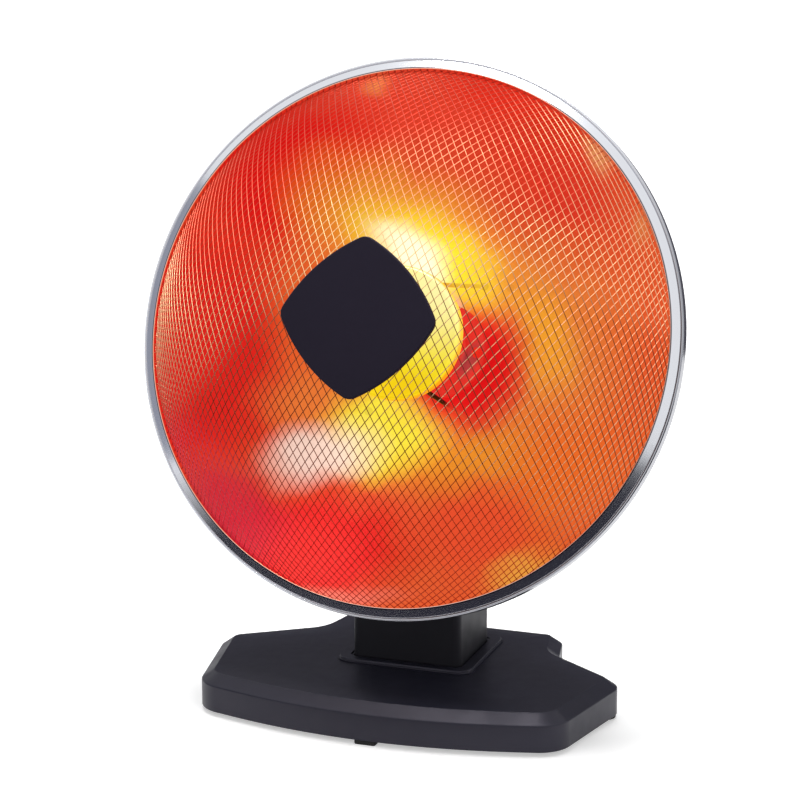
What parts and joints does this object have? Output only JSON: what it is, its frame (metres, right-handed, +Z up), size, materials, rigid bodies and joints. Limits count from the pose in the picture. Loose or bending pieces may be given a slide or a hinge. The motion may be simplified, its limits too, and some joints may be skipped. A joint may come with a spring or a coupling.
{
  "type": "parabolic dish heater",
  "caption": "Round dish heater: domed wire grille over a polished reflector with a glowing ceramic element, tilting on a square neck above a low weighted base.",
  "frame": {"origin": "on the floor under the middle of the whole heater", "axes": "+X to the right seen from the front, +Y backwards, +Z up; the dish faces -Y and is tilted up"},
  "size_m": [0.378, 0.259, 0.4382],
  "materials": {
    "case_black": "satin",
    "plate_steel": "matt",
    "ballast_iron": "rough",
    "screw_steel": "satin",
    "rubber": "matt",
    "plunger_white": "satin",
    "switch_black": "matt",
    "neck_black": "satin",
    "washer_brass": "satin",
    "bracket_steel": "satin",
    "reflector_metal": "polished",
    "bezel_metal": "polished",
    "clip_steel": "satin",
    "wire_chrome": "polished",
    "badge_black": "satin",
    "cap_metal": "satin",
    "ceramic": "matt",
    "coil_hot": "glowing",
    "knob_black": "satin",
    "rocker_red": "glossy",
    "lamp_amber": "glossy"
  },
  "bodies": {
    "base": {"base_shell": "case_black", "base_plate": "plate_steel", "ballast": "ballast_iron", "base_screws": "screw_steel", "foot_front": "rubber", "foot_left": "rubber", "foot_right": "rubber", "foot_rear_left": "rubber", "foot_rear_right": "rubber", "plunger_spring": "screw_steel", "tip_switch": "switch_black", "cord_inlet": "rubber", "terminal_block": "plunger_white", "neck": "neck_black", "neck_collar": "case_black", "hinge_bolt": "screw_steel", "hinge_nut": "screw_steel", "friction_washers": "washer_brass"},
    "head": {"tilt_bracket": "bracket_steel", "hub_screws": "screw_steel", "reflector": "reflector_metal", "bezel_ring": "bezel_metal", "bezel_clips": "clip_steel", "grille": "wire_chrome", "badge_plate": "badge_black", "badge_clamp": "bracket_steel", "badge_screw": "screw_steel", "deflector_cap": "cap_metal", "cap_posts": "bracket_steel", "tie_rod": "screw_steel", "tie_nuts": "screw_steel", "ceramic_former": "ceramic", "heating_coil": "coil_hot", "ceramic_hub": "ceramic", "element_terminals": "washer_brass", "rear_housing": "neck_black", "housing_rivets": "clip_steel", "back_cover": "neck_black", "cover_screws": "screw_steel", "thermostat": "switch_black", "switch_body": "switch_black", "pilot_lamp": "lamp_amber", "thermal_cutout": "ceramic"},
    "knob": {"heat_knob": "knob_black", "thermostat_shaft": "clip_steel"},
    "rocker": {"power_rocker": "rocker_red"},
    "plunger": {"tip_plunger": "plunger_white"}
  },
  "joints": [
    {"name": "head_tilt", "type": "hinge", "parent": "base", "child": "head", "pos_m": [0, 0.0306, 0.143], "axis": [1, 0, 0], "range_deg": [-11, 19]},
    {"name": "heat_knob_turn", "type": "hinge", "parent": "head", "child": "knob", "pos_m": [0, 0.11535, 0.23862], "axis": [0, -0.9455, 0.3256], "range_deg": [0, 270]},
    {"name": "rocker_press", "type": "hinge", "parent": "head", "child": "rocker", "pos_m": [0, 0.08595, 0.19163], "axis": [0, 0.3256, 0.9455], "range_deg": [-16, 0]},
    {"name": "plunger_slide", "type": "slide", "parent": "base", "child": "plunger", "axis": [0, 0, -1], "range_m": [0, 0.005], "stiffness_N_per_m": 60, "springref_m": 0.006, "deforming": ["plunger_spring"]}
  ]
}
